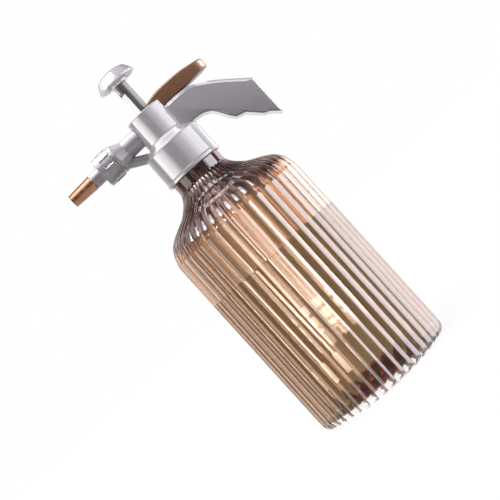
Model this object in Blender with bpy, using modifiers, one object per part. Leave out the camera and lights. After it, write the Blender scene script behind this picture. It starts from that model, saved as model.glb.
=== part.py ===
"""Hand mister: a fluted pressure bottle with a pump, a trigger valve and a spray nozzle.

Metres, +Z up. The origin is the centre of the ring the bottle stands on. The nozzle
points along -X, the handle along +X, and the XZ plane is the mirror plane.
"""
import math

import bmesh
import bpy
from mathutils import Matrix, Vector

for old in list(bpy.data.objects):
    bpy.data.objects.remove(old, do_unlink=True)

MM = 0.001
GAP = 0.3                      # static gap between touching pieces, mm

# bottle
RIBS = 40                      # reeds round the bottle
BOTTLE_R = 58.0                # over the reed crests
SHOULDER_Z = 162.0             # where the straight wall ends
NECK_ROOT_R = 20.2             # under the neck thread
NECK_IN_R = 18.4
RIM_Z = 229.5                  # top of the neck
FLOOR_Z = 4.0                  # inside floor, at its lowest
DOME_Z = 15.5                  # top of the hollow under the pushed-in base
DOME_WALL = 4.0                # its thickness
FOOT_IN_R = 34.5               # inner edge of the standing ring

# screw thread between bottle and head
PITCH = 4.0
TURNS = 1.5
THREAD_Z = 217.0

# head
SKIRT_Z = 208.6
SKIRT_R = 23.8
SKIRT_IN_R = 22.2
DECK_LOW_Z = 231.5
DECK_TOP_Z = 238.0
TURRET_R = 16.2
TURRET_IN_R = 14.1
TURRET_TOP_Z = 264.0

# spray axis
NOZ_TILT = math.radians(1.8)   # drop of the spray axis towards the tip
NOZ_ORIGIN = Vector((-16.0, 0.0, 252.75))
DUCT_A = Vector((-34.5, 0.0, 244.4))   # feed duct, upper end of its axis
DUCT_B = Vector((-15.5, 0.0, 234.3))   # feed duct, lower end of its axis
DUCT_R = 3.9

# trigger
PIVOT = Vector((-9.0, 0.0, 241.5))
PIN_R = 1.2
TRIGGER_HALF = 8.2             # half width of the lever
ROD_SLOT_HALF = 6.2            # half width of its fork

# handle
HANDLE_HALF = 11.0
CHANNEL_HALF = 8.9

# pump
ROD_R = 5.5
ROD_FLAT = 4.2                 # distance of the rod's flat from its axis
FLAT_DIR = math.radians(55.0)  # which way the flat looks, from -Y towards -X
KNOB_Z = 293.2
KNOB_R = 16.2
BARREL_R = 10.5
BARREL_IN_R = 9.4
BARREL_LOW_Z = 47.5
BARREL_TOP_Z = 235.0
PISTON_Z = 64.5
PISTON_TOP_Z = 81.5
DIP_X = -15.2

PARTS = bpy.data.collections.new("hand_mister")
CUTTERS = bpy.data.collections.new("hand_mister_cutters")
bpy.context.scene.collection.children.link(PARTS)
bpy.context.scene.collection.children.link(CUTTERS)


def material(name, colour, roughness, metallic=0.0):
    mat = bpy.data.materials.new(name)
    mat.use_nodes = True
    bsdf = mat.node_tree.nodes["Principled BSDF"]
    bsdf.inputs["Base Color"].default_value = (*colour, 1.0)
    bsdf.inputs["Roughness"].default_value = roughness
    bsdf.inputs["Metallic"].default_value = metallic
    return mat


AMBER = material("amber_bottle", (0.36, 0.20, 0.11), 0.12)
WHITE = material("white_plastic", (0.80, 0.79, 0.81), 0.30)
BROWN = material("brown_plastic", (0.17, 0.09, 0.06), 0.35)
COPPER = material("copper_tip", (0.42, 0.22, 0.13), 0.30, 1.0)
PALE = material("pale_plastic", (0.82, 0.79, 0.72), 0.40)
RUBBER = material("black_rubber", (0.03, 0.03, 0.03), 0.70)
STEEL = material("steel", (0.60, 0.60, 0.61), 0.25, 1.0)
TUBE = material("dip_tube_plastic", (0.86, 0.84, 0.78), 0.35)


def spray_frame():
    c, s = math.cos(NOZ_TILT), math.sin(NOZ_TILT)
    return Matrix(((-s, 0.0, -c, NOZ_ORIGIN.x * MM),
                   (0.0, 1.0, 0.0, NOZ_ORIGIN.y * MM),
                   (c, 0.0, -s, NOZ_ORIGIN.z * MM),
                   (0.0, 0.0, 0.0, 1.0)))


SPRAY = spray_frame()


def place(name, mesh, mat, frame=None, cutter=False):
    ob = bpy.data.objects.new(name, mesh)
    (CUTTERS if cutter else PARTS).objects.link(ob)
    if mat is not None:
        mesh.materials.append(mat)
    if frame is not None:
        ob.matrix_world = frame
    if cutter:
        ob.hide_render = True
        ob.display_type = "WIRE"
    return ob


def turned(name, profile, steps, mat=None, frame=None, cutter=False, ring=False):
    """A turned solid: the profile (r, z) in mm runs down its outer side."""
    mesh = bpy.data.meshes.new(name)
    verts = [(r * MM, 0.0, z * MM) for r, z in profile]
    edges = [(i, i + 1) for i in range(len(verts) - 1)]
    if ring:
        edges.append((len(verts) - 1, 0))
    mesh.from_pydata(verts, edges, [])
    ob = place(name, mesh, mat, frame, cutter)
    mod = ob.modifiers.new("turn", "SCREW")
    mod.axis = "Z"
    mod.angle = math.tau
    mod.steps = steps
    mod.render_steps = steps
    mod.use_merge_vertices = True
    mod.merge_threshold = 0.00001
    mod.use_smooth_shade = False
    return ob


def prism(name, outline, half, mat=None, cutter=False, centre=0.0, origin=None):
    """An outline (x, z) in mm pushed out both ways along Y."""
    o = origin or Vector((0.0, 0.0, 0.0))
    bm = bmesh.new()
    ring = [bm.verts.new(((x - o.x) * MM, (centre - half - o.y) * MM, (z - o.z) * MM))
            for x, z in outline]
    face = bm.faces.new(ring)
    out = bmesh.ops.extrude_face_region(bm, geom=[face])
    moved = [v for v in out["geom"] if isinstance(v, bmesh.types.BMVert)]
    bmesh.ops.translate(bm, verts=moved, vec=(0.0, 2.0 * half * MM, 0.0))
    bmesh.ops.recalc_face_normals(bm, faces=bm.faces)
    mesh = bpy.data.meshes.new(name)
    bm.to_mesh(mesh)
    bm.free()
    return place(name, mesh, mat, Matrix.Translation(o * MM), cutter)


def plate(name, outline, z0, z1, mat=None, cutter=False, frame=None):
    """An outline (x, y) in mm pushed up from z0 to z1."""
    bm = bmesh.new()
    ring = [bm.verts.new((x * MM, y * MM, z0 * MM)) for x, y in outline]
    face = bm.faces.new(ring)
    out = bmesh.ops.extrude_face_region(bm, geom=[face])
    moved = [v for v in out["geom"] if isinstance(v, bmesh.types.BMVert)]
    bmesh.ops.translate(bm, verts=moved, vec=(0.0, 0.0, (z1 - z0) * MM))
    bmesh.ops.recalc_face_normals(bm, faces=bm.faces)
    mesh = bpy.data.meshes.new(name)
    bm.to_mesh(mesh)
    bm.free()
    return place(name, mesh, mat, frame, cutter)


def block(name, x0, x1, y0, y1, z0, z1, mat=None, cutter=False, frame=None):
    return plate(name, [(x0, y0), (x1, y0), (x1, y1), (x0, y1)], z0, z1, mat, cutter, frame)


def bar(name, a, b, radius, steps, cutter=True):
    """A round bar between two points in mm."""
    axis = b - a
    turn = Vector((0.0, 0.0, 1.0)).rotation_difference(axis).to_matrix().to_4x4()
    frame = Matrix.Translation(a * MM) @ turn
    length = axis.length
    return turned(name, [(0, length), (radius, length), (radius, 0), (0, 0)], steps,
                  frame=frame, cutter=cutter)


def boolean(ob, other, operation):
    mod = ob.modifiers.new(operation.lower() + "_" + other.name, "BOOLEAN")
    mod.operation = operation
    mod.solver = "EXACT"
    mod.object = other
    return mod


def loft(name, rows, count, mat, frame=None, ring=False, pitch=2, crest=0):
    """Rings of points stacked in order; each row is (radius, z, groove depth).

    One point in each pitch is a crest, and the others lie in the groove.
    A row with depth None is a plain ring with half as many points.
    """
    bm = bmesh.new()
    loops = []
    for r, z, depth in rows:
        if r == 0.0:
            loops.append([bm.verts.new((0.0, 0.0, z * MM))])
            continue
        points = count // 2 if depth is None else count
        loop = []
        for i in range(points):
            a = math.tau * i / points
            q = r - (depth if depth and i % pitch != crest else 0.0)
            loop.append(bm.verts.new((q * math.cos(a) * MM, q * math.sin(a) * MM, z * MM)))
        loops.append(loop)
    pairs = list(zip(loops, loops[1:]))
    if ring:
        pairs.append((loops[-1], loops[0]))
    for low, high in pairs:
        if len(low) == 1 or len(high) == 1:
            tip, rim = (low[0], high) if len(low) == 1 else (high[0], low)
            for i in range(len(rim)):
                bm.faces.new((tip, rim[i], rim[(i + 1) % len(rim)]))
        elif len(low) == len(high):
            for i in range(len(low)):
                j = (i + 1) % len(low)
                bm.faces.new((low[i], low[j], high[j], high[i]))
        else:
            fine, coarse = (low, high) if len(low) > len(high) else (high, low)
            for i in range(len(coarse)):
                j = (i + 1) % len(coarse)
                middle = fine[2 * i + 1]
                bm.faces.new((fine[2 * i], middle, coarse[i]))
                bm.faces.new((middle, coarse[j], coarse[i]))
                bm.faces.new((middle, fine[2 * j], coarse[j]))
    bmesh.ops.recalc_face_normals(bm, faces=bm.faces)
    mesh = bpy.data.meshes.new(name)
    bm.to_mesh(mesh)
    bm.free()
    return place(name, mesh, mat, frame)


def helix_ridge(name, foot_r, crest_r, z0, foot_half, crest_half, per_turn):
    """One thread ridge with tapered ends, as a closed solid."""
    bm = bmesh.new()
    count = int(per_turn * TURNS)
    sections = []
    for i in range(count + 1):
        a = math.tau * i / per_turn
        z = z0 + PITCH * i / per_turn
        k = min(1.0, i / 3.0 + 0.25, (count - i) / 3.0 + 0.25)
        crest = foot_r + (crest_r - foot_r) * (0.45 + 0.55 * k)
        section = []
        for r, dz in ((foot_r, -foot_half), (crest, -crest_half),
                      (crest, crest_half), (foot_r, foot_half)):
            section.append(bm.verts.new((r * math.cos(a) * MM, r * math.sin(a) * MM, (z + dz) * MM)))
        sections.append(section)
    for a, b in zip(sections, sections[1:]):
        for i in range(4):
            j = (i + 1) % 4
            bm.faces.new((a[i], a[j], b[j], b[i]))
    bm.faces.new(sections[0])
    bm.faces.new(sections[-1])
    bmesh.ops.recalc_face_normals(bm, faces=bm.faces)
    mesh = bpy.data.meshes.new(name)
    bm.to_mesh(mesh)
    bm.free()
    return place(name, mesh, None, cutter=True)


def pipe(name, centres, outer, inner, count, mat):
    """A hollow tube along centres (x, z) in mm in the mirror plane."""
    bm = bmesh.new()
    skins = ([], [])
    for i, (x, z) in enumerate(centres):
        before = centres[max(0, i - 1)]
        after = centres[min(len(centres) - 1, i + 1)]
        t = Vector((after[0] - before[0], 0.0, after[1] - before[1])).normalized()
        side = Vector((0.0, 1.0, 0.0))
        up = t.cross(side)
        for skin, radius in zip(skins, (outer, inner)):
            loop = []
            for j in range(count):
                a = math.tau * j / count
                p = Vector((x, 0.0, z)) + (side * math.cos(a) + up * math.sin(a)) * radius
                loop.append(bm.verts.new(p * MM))
            skin.append(loop)
    for skin in skins:
        for a, b in zip(skin, skin[1:]):
            for j in range(count):
                k = (j + 1) % count
                bm.faces.new((a[j], a[k], b[k], b[j]))
    for end in (0, -1):
        for j in range(count):
            k = (j + 1) % count
            bm.faces.new((skins[0][end][j], skins[0][end][k], skins[1][end][k], skins[1][end][j]))
    bmesh.ops.recalc_face_normals(bm, faces=bm.faces)
    mesh = bpy.data.meshes.new(name)
    bm.to_mesh(mesh)
    bm.free()
    return place(name, mesh, mat)


def smooth_line(points, cuts):
    """A curve through the points, with cuts pieces between each two."""
    line = []
    for i in range(len(points) - 1):
        p0 = points[max(0, i - 1)]
        p1, p2 = points[i], points[i + 1]
        p3 = points[min(len(points) - 1, i + 2)]
        for k in range(cuts):
            t = k / cuts
            line.append(tuple(0.5 * (2 * b + (c - a) * t + (2 * a - 5 * b + 4 * c - d) * t * t
                                     + (3 * b - a - 3 * c + d) * t ** 3)
                              for a, b, c, d in zip(p0, p1, p2, p3)))
    line.append(points[-1])
    return line


def ring_profile(inner, outer, z0, z1):
    return [(inner, z1), (outer, z1), (outer, z0), (inner, z0)]


# ---------------------------------------------------------------- bottle
REED = 1.4
BOTTLE_ROWS = [
    (0.0, DOME_Z, None), (7.0, DOME_Z - 0.4, None), (12.5, DOME_Z - 1.6, None), (17.5, DOME_Z - 3.8, None), (22.0, 8.6, None),
    (26.5, 4.9, None), (30.5, 1.6, None), (FOOT_IN_R, 0.0, None), (51.0, 0.0, 0.5), (53.4, 0.5, 0.75), (55.6, 2.1, 1.0), (57.2, 4.8, 1.3),
    (BOTTLE_R, 9.0, REED), (BOTTLE_R, SHOULDER_Z, REED), (56.9, 165.6, REED),
    (53.8, 172.9, 1.3), (51.1, 176.6, 1.2), (46.4, 180.3, 1.1), (39.7, 183.9, 1.0),
    (32.3, 187.6, 0.9), (27.8, 191.2, 0.8), (24.2, 194.9, 0.6), (21.7, 198.6, 0.4),
    (21.2, 201.0, None), (21.3, 211.0, None), (NECK_ROOT_R, 212.0, None),
    (NECK_ROOT_R, RIM_Z - 0.5, None), (NECK_ROOT_R - 0.4, RIM_Z, None),
    (NECK_IN_R, RIM_Z, None), (NECK_IN_R, 203.0, None), (19.0, 199.0, None),
    (21.4, 194.6, None), (25.5, 190.2, None), (30.5, 186.6, None), (38.0, 182.6, None),
    (45.0, 178.6, None), (51.6, 172.4, None), (55.4, SHOULDER_Z, None),
    (55.4, 10.5, None), (54.2, 6.6, None), (51.8, 4.6, None), (48.5, FLOOR_Z, None), (38.5, FLOOR_Z, None), (35.0, 4.9, None),
    (31.0, 7.4, None), (26.5, 11.2, None), (21.0, 15.0, None), (14.5, DOME_Z + DOME_WALL - 1.6, None),
    (8.0, DOME_Z + DOME_WALL - 0.4, None), (0.0, DOME_Z + DOME_WALL, None),
]
bottle = loft("bottle", BOTTLE_ROWS, 2 * RIBS, AMBER)
neck_thread = helix_ridge("neck_thread", 19.5, 21.5, THREAD_Z, 0.85, 0.45, 20)
boolean(bottle, neck_thread, "UNION")

turned("neck_gasket", ring_profile(18.6, 20.8, RIM_Z + GAP, DECK_LOW_Z - GAP), 32, RUBBER, ring=True)

# ---------------------------------------------------------------- head
HEAD_PROFILE = [
    (TURRET_IN_R, TURRET_TOP_Z), (TURRET_R - 1.5, TURRET_TOP_Z), (TURRET_R - 0.6, TURRET_TOP_Z - 0.5),
    (TURRET_R - 0.2, TURRET_TOP_Z - 1.6), (TURRET_R + 0.3, 240.6), (17.4, 238.9), (22.2, 235.4),
    (23.3, 234.2), (SKIRT_R - 0.3, 232.4), (SKIRT_R, 212.0), (SKIRT_R + 0.4, 210.8),
    (SKIRT_R + 0.4, SKIRT_Z + 0.3), (SKIRT_R + 0.1, SKIRT_Z), (SKIRT_IN_R, SKIRT_Z),
    (SKIRT_IN_R, DECK_LOW_Z), (BARREL_R + 0.35, DECK_LOW_Z), (BARREL_R + 0.35, 236.3),
    (6.9, 236.3), (6.9, DECK_TOP_Z), (TURRET_IN_R, DECK_TOP_Z),
]
head = turned("head_body", HEAD_PROFILE, 40, WHITE, ring=True)
head_thread = helix_ridge("head_thread", 22.8, 20.9, THREAD_Z - 0.5 * PITCH, 0.85, 0.45, 20)
boolean(head, head_thread, "UNION")
for side in (-1, 1):
    lug = block("lug_%d" % side, -11.3, -6.7, side * 9.7 - 1.0, side * 9.7 + 1.0,
                DECK_TOP_Z - 1.0, 244.6, cutter=True)
    boolean(head, lug, "UNION")
pin_hole = bar("pin_hole", Vector((PIVOT.x, -10.75, PIVOT.z)), Vector((PIVOT.x, 10.75, PIVOT.z)),
               PIN_R + 0.3, 16)
boolean(head, pin_hole, "DIFFERENCE")
notch = block("trigger_notch", 9.0, 19.0, -CHANNEL_HALF, CHANNEL_HALF, 252.3, 270.0, cutter=True)
boolean(head, notch, "DIFFERENCE")
stem_hole = turned("stem_hole", [(0, 4.0), (4.3, 4.0), (4.3, -3.0), (0, -3.0)], 24,
                   frame=SPRAY, cutter=True)
boolean(head, stem_hole, "DIFFERENCE")
feed_hole = bar("feed_hole", DUCT_A, DUCT_B, 1.4, 12)
boolean(head, feed_hole, "DIFFERENCE")
dip_socket = bar("dip_socket", Vector((DIP_X, 0.0, 229.0)), Vector((DIP_X, 0.0, 235.0)), 2.75, 16)
boolean(head, dip_socket, "DIFFERENCE")

# what the pieces outside the head keep clear of
ENVELOPE = [
    (0.0, 275.0), (TURRET_R + 0.3, 275.0), (TURRET_R + 0.3, 262.0), (TURRET_R + 0.62, 240.6), (17.75, 239.1),
    (22.5, 235.65), (23.7, 234.2), (SKIRT_R + 0.1, 232.4), (SKIRT_R + 0.4, 205.0), (0.0, 205.0),
]
envelope = turned("head_envelope", ENVELOPE, 40, cutter=True)

# ---------------------------------------------------------------- handle
HANDLE_TOP = [(12.0, 257.0), (21.5, 257.6), (32.6, 257.1), (39.3, 255.2), (43.7, 252.9),
              (54.8, 245.5), (65.9, 236.7), (75.3, 228.8)]
HANDLE_LOW = [(75.3, 196.6), (71.4, 199.8), (68.1, 202.6), (64.2, 204.3), (61.5, 207.0),
              (58.1, 210.4), (54.8, 213.7), (51.5, 214.8), (47.6, 216.1), (44.8, 219.2),
              (42.6, 222.6), (40.4, 226.4), (37.0, 230.9), (32.6, 233.4), (28.2, 234.6),
              (21.0, 234.9), (12.0, 235.2)]
handle = prism("handle", smooth_line(HANDLE_TOP, 2) + smooth_line(HANDLE_LOW, 1), HANDLE_HALF, WHITE)
edge = handle.modifiers.new("edge", "BEVEL")
edge.width = 2.4 * MM
edge.segments = 2
edge.limit_method = "ANGLE"
edge.angle_limit = math.radians(60.0)
boolean(handle, envelope, "DIFFERENCE")
CHANNEL = [(8.0, 270.0), (62.0, 270.0), (47.5, 247.6), (40.0, 234.0), (35.0, 236.8),
           (29.0, 238.0), (21.0, 238.6), (8.0, 238.8)]
channel = prism("trigger_channel", CHANNEL, CHANNEL_HALF, cutter=True)
boolean(handle, channel, "DIFFERENCE")

# ---------------------------------------------------------------- trigger
TRIGGER_TOP = [(57.2, 265.2), (55.9, 266.0), (48.2, 267.2), (38.2, 268.7), (27.0, 269.1), (16.0, 268.9),
               (7.1, 267.2), (1.6, 264.4), (-4.0, 260.6), (-9.0, 257.3), (-14.0, 256.4)]
TRIGGER_LOW = [(-14.0, 246.5), (-11.4, 245.6), (-11.4, 241.5), (-10.7, 239.8), (-9.0, 239.1),
               (-7.3, 239.8), (-6.6, 241.5), (-6.6, 246.0), (-3.5, 250.8), (3.0, 255.2),
               (9.5, 256.9), (18.2, 257.4), (32.6, 257.5), (43.7, 257.8), (55.9, 258.6), (57.2, 259.6)]
trigger = prism("trigger", TRIGGER_TOP + TRIGGER_LOW, 12.0, BROWN, origin=PIVOT)
plan = [(48.0, TRIGGER_HALF), (51.5, 7.7), (54.4, 6.4), (56.2, 4.3), (57.0, 2.0)]
plan = plan + [(x, -y) for x, y in reversed(plan)]
inside_r = TURRET_IN_R - 0.5
reach = math.asin(TRIGGER_HALF / inside_r)
for i in range(9):
    a = math.pi + reach - 2.0 * reach * i / 8.0
    plan.append((inside_r * math.cos(a), inside_r * math.sin(a)))
plan_block = plate("trigger_plan", plan, 230.0, 280.0, cutter=True)
boolean(trigger, plan_block, "INTERSECT")
fork = block("trigger_fork", -10.9, 11.6, -ROD_SLOT_HALF, ROD_SLOT_HALF, 225.0, 285.0, cutter=True)
boolean(trigger, fork, "DIFFERENCE")
stem_slot = block("trigger_stem_slot", -15.0, -10.0, -1.8, 1.8, 244.0, 255.0, cutter=True)
boolean(trigger, stem_slot, "DIFFERENCE")
eye = bar("trigger_eye", Vector((PIVOT.x, -14.0, PIVOT.z)), Vector((PIVOT.x, 14.0, PIVOT.z)), PIN_R + 0.25, 16)
boolean(trigger, eye, "DIFFERENCE")

pin = bar("trigger_pin", Vector((PIVOT.x, -10.5, PIVOT.z)), Vector((PIVOT.x, 10.5, PIVOT.z)), PIN_R, 16, cutter=False)
pin.data.materials.append(STEEL)

# ---------------------------------------------------------------- nozzle body and its valve
BODY_PROFILE = [(0, 30.0), (9.2, 30.0), (9.2, 22.9), (11.7, 22.9), (12.0, 22.5), (12.0, 20.4), (11.3, 20.0),
                (7.7, 12.4), (7.7, -5.0), (0, -5.0)]
nozzle_body = turned("nozzle_body", BODY_PROFILE, 28, WHITE, frame=SPRAY)
duct = bar("feed_duct", DUCT_A, DUCT_B, DUCT_R, 20)
boolean(nozzle_body, duct, "UNION")
boolean(nozzle_body, envelope, "DIFFERENCE")
spigot = turned("rear_spigot", [(0, 4.0), (4.0, 4.0), (4.0, -1.6), (0, -1.6)], 24, frame=SPRAY, cutter=True)
boolean(nozzle_body, spigot, "UNION")
BORE = [(0, 31.0), (4.6, 31.0), (4.6, 24.0), (3.5, 24.0), (3.5, 13.6), (1.75, 13.6), (1.75, 12.4), (2.95, 12.4),
        (2.95, 10.2), (1.75, 10.2), (1.75, 9.2), (3.1, 9.2), (3.1, -3.0), (0, -3.0)]
bore = turned("valve_bore", BORE, 24, frame=SPRAY, cutter=True)
boolean(nozzle_body, bore, "DIFFERENCE")
duct_hole = bar("duct_hole", DUCT_A + (DUCT_A - DUCT_B) * 0.02, DUCT_B, 1.4, 12)
boolean(nozzle_body, duct_hole, "DIFFERENCE")
lift = bar("duct_rise", DUCT_A + (DUCT_B - DUCT_A) * 0.06, Vector((-33.0, 0.0, 252.0)), 1.3, 12)
boolean(nozzle_body, lift, "DIFFERENCE")

turned("valve_bush", ring_profile(1.65, 2.8, -1.4, -0.2), 16, PALE, frame=SPRAY, ring=True)
STEM = [(0, 24.2), (0.95, 24.2), (0.95, 23.0), (2.9, 23.0), (2.9, 21.0), (1.25, 20.6), (1.25, 8.6), (2.7, 8.6),
        (2.7, 7.3), (1.25, 7.3), (1.25, -5.8), (2.3, -5.8), (2.3, -7.4), (0, -7.4)]
turned("valve_stem", STEM, 16, STEEL, frame=SPRAY)
turned("poppet_seal", ring_profile(1.2, 2.7, 23.2, 24.25), 16, RUBBER, frame=SPRAY, ring=True)
turned("valve_oring", [(1.5, 11.8), (2.1, 12.15), (2.7, 11.8), (2.7, 10.8), (2.1, 10.45), (1.5, 10.8)], 16,
       RUBBER, frame=SPRAY, ring=True)
turned("valve_seat", ring_profile(1.4, 4.3, 24.6, 29.6), 18, PALE, frame=SPRAY, ring=True)


def coil(name, radius, wire, s0, s1, turns, mat):
    curve = bpy.data.curves.new(name, "CURVE")
    curve.dimensions = "3D"
    curve.bevel_depth = wire * MM
    curve.bevel_resolution = 2
    curve.use_fill_caps = True
    count = int(turns * 10)
    line = curve.splines.new("POLY")
    line.points.add(count)
    for i in range(count + 1):
        a = math.tau * turns * i / count
        s = s0 + (s1 - s0) * i / count
        line.points[i].co = (radius * math.cos(a) * MM, radius * math.sin(a) * MM, s * MM, 1.0)
    curve.materials.append(mat)
    ob = bpy.data.objects.new(name, curve)
    PARTS.objects.link(ob)
    ob.matrix_world = SPRAY
    return ob


coil("valve_spring", 2.15, 0.28, 0.4, 6.7, 4.0, STEEL)

# ---------------------------------------------------------------- nozzle
turned("nozzle_washer", ring_profile(2.2, 8.9, 30.3, 31.3), 24, RUBBER, frame=SPRAY, ring=True)
SLEEVE = [(1.5, 57.0), (3.4, 57.0), (3.7, 56.6), (3.7, 54.0), (3.05, 54.0), (3.05, 52.2), (3.7, 52.2), (3.7, 45.6),
          (5.7, 45.6), (6.0, 45.2), (6.0, 33.6), (9.1, 33.6), (9.1, 31.6), (1.5, 31.6)]
turned("nozzle_sleeve", SLEEVE, 20, WHITE, frame=SPRAY, ring=True)
NUT_ROWS = [
    (9.5, 23.3, 0.0), (11.6, 23.3, 0.0), (12.3, 23.8, 0.0), (12.4, 24.4, 0.8), (12.4, 32.6, 0.8), (12.3, 33.2, 0.0),
    (12.3, 36.2, 0.0), (11.5, 37.3, 0.0), (6.35, 37.3, 0.0), (6.35, 33.9, 0.0), (9.5, 33.9, 0.0),
]
loft("nozzle_nut", NUT_ROWS, 40, WHITE, frame=SPRAY, ring=True, pitch=5, crest=4)
turned("nozzle_oring", [(3.2, 53.7), (3.78, 53.7), (3.78, 52.5), (3.2, 52.5)], 24, RUBBER, frame=SPRAY, ring=True)
SWIRL = [(0, 62.2), (1.3, 62.2), (1.6, 61.0), (3.4, 60.6), (3.4, 57.4), (0, 57.4)]
turned("swirl_insert", SWIRL, 20, PALE, frame=SPRAY)
TIP = [(0.7, 66.7), (4.3, 66.7), (5.0, 66.1), (5.7, 50.0), (5.9, 47.4), (5.9, 46.2), (5.6, 45.9), (4.05, 45.9),
       (4.05, 61.2), (2.2, 63.0), (0.7, 63.6)]
turned("nozzle_tip", TIP, 24, COPPER, frame=SPRAY, ring=True)

# ---------------------------------------------------------------- pump
KNOB = [(0, 302.5), (9.0, 302.4), (11.4, 301.7), (13.3, 299.6), (15.3, 296.2), (KNOB_R, 294.6), (KNOB_R, 293.7),
        (KNOB_R - 0.6, KNOB_Z), (14.2, KNOB_Z), (13.4, 294.6), (11.2, 297.4), (8.3, 298.0), (8.3, 291.6),
        (7.6, 291.0), (ROD_R + 0.3, 291.0), (ROD_R + 0.3, 298.8), (0, 298.8)]
turned("plunger_knob", KNOB, 32, WHITE)
ROD = [(0, 298.4), (ROD_R - 0.4, 298.4), (ROD_R, 298.0), (ROD_R, 82.2), (3.0, 82.2), (3.0, 67.0), (0, 67.0)]
rod = turned("plunger_rod", ROD, 24, WHITE)
flat_x, flat_y = -math.sin(FLAT_DIR), -math.cos(FLAT_DIR)
flat_frame = Matrix(((flat_x, -flat_y, 0.0, 0.0), (flat_y, flat_x, 0.0, 0.0), (0.0, 0.0, 1.0, 0.0), (0.0, 0.0, 0.0, 1.0)))
flat_side = [(ROD_FLAT, 92.0), (7.0, 90.0), (7.0, 287.0), (ROD_FLAT, 283.0)]
bm = bmesh.new()
ring = [bm.verts.new((u * MM, -7.0 * MM, z * MM)) for u, z in flat_side]
out = bmesh.ops.extrude_face_region(bm, geom=[bm.faces.new(ring)])
bmesh.ops.translate(bm, verts=[v for v in out["geom"] if isinstance(v, bmesh.types.BMVert)], vec=(0.0, 14.0 * MM, 0.0))
bmesh.ops.recalc_face_normals(bm, faces=bm.faces)
flat_mesh = bpy.data.meshes.new("rod_flat")
bm.to_mesh(flat_mesh)
bm.free()
rod_flat = place("rod_flat", flat_mesh, None, flat_frame, cutter=True)
boolean(rod, rod_flat, "DIFFERENCE")

GUIDE = [(ROD_R + 0.35, 246.0), (7.0, 246.0), (7.3, 245.6), (7.3, DECK_TOP_Z + 0.3), (6.55, DECK_TOP_Z + 0.3),
         (6.55, 236.6), (ROD_R + 0.35, 236.6)]
guide = turned("rod_guide", GUIDE, 24, PALE, ring=True)
key = block("guide_key", ROD_FLAT + 0.35, 6.4, -2.6, 2.6, 238.8, 245.4, cutter=True, frame=flat_frame)
boolean(guide, key, "UNION")

PISTON = [(3.3, PISTON_TOP_Z), (8.2, PISTON_TOP_Z), (8.9, 80.6), (8.9, 75.0), (7.1, 75.0), (7.1, 71.8), (8.9, 71.8),
          (8.9, 65.3), (8.2, PISTON_Z), (3.3, PISTON_Z)]
turned("piston", PISTON, 24, PALE, ring=True)
turned("piston_seal", ring_profile(7.35, 9.12, 72.1, 74.7), 24, RUBBER, ring=True)

barrel = turned("pump_barrel", ring_profile(BARREL_IN_R, BARREL_R, BARREL_LOW_Z, BARREL_TOP_Z), 28, PALE, ring=True)
for i in range(2):
    vent = block("barrel_vent_%d" % i, -2.6, 2.6, -15.0, 15.0, BARREL_LOW_Z - 2.0, 55.5, cutter=True,
                 frame=Matrix.Rotation(math.radians(20.0 + 90.0 * i), 4, "Z"))
    boolean(barrel, vent, "DIFFERENCE")
turned("barrel_gasket", ring_profile(9.5, 10.5, BARREL_TOP_Z + 0.25, 236.05), 28, RUBBER, ring=True)

seat = turned("barrel_seat", ring_profile(1.35, 9.1, 58.6, 61.8), 28, PALE, ring=True)
for i in range(4):
    a = math.radians(45.0 + 90.0 * i)
    x, y = 4.6 * math.cos(a), 4.6 * math.sin(a)
    port = bar("seat_port_%d" % i, Vector((x, y, 57.0)), Vector((x, y, 63.0)), 1.2, 10)
    boolean(seat, port, "DIFFERENCE")
UMBRELLA = [(0, 64.0), (1.0, 64.0), (1.65, 63.5), (1.65, 63.1), (1.0, 62.9), (1.0, 58.3), (6.6, 58.3), (6.9, 57.9),
            (5.0, 57.0), (1.5, 56.4), (0, 56.4)]
turned("check_valve", UMBRELLA, 18, RUBBER)

DIP_LINE = [(DIP_X, 234.6), (DIP_X, 202.0)]
for i in range(1, 8):
    t = i / 7.0
    DIP_LINE.append((DIP_X - 5.2 * t * t * (1.6 - 0.6 * t), 202.0 - 170.0 * t))
pipe("dip_tube", DIP_LINE, 2.4, 1.5, 14, TUBE)
foot_x = DIP_LINE[-1][0]
STRAINER = [(3.1, 42.2), (4.6, 42.2), (4.9, 41.6), (4.9, 25.6), (4.6, 25.2), (3.1, 25.2)]
strainer = turned("dip_strainer", STRAINER, 20, PALE, frame=Matrix.Translation(Vector((foot_x, 0.0, 0.0)) * MM), ring=True)
for i in range(2):
    slit = block("strainer_slit_%d" % i, -0.7, 0.7, -6.0, 6.0, 27.0, 30.5, cutter=True,
                 frame=Matrix.Translation(Vector((foot_x, 0.0, 0.0)) * MM) @ Matrix.Rotation(math.radians(90.0 * i), 4, "Z"))
    boolean(strainer, slit, "DIFFERENCE")
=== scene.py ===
"""Hand mister: the finished looks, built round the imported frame.

Metres in the frame's own axes; the tables of sizes below are in millimetres.
"""

import math

import bmesh
import bpy
from mathutils import Matrix, Vector


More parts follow.
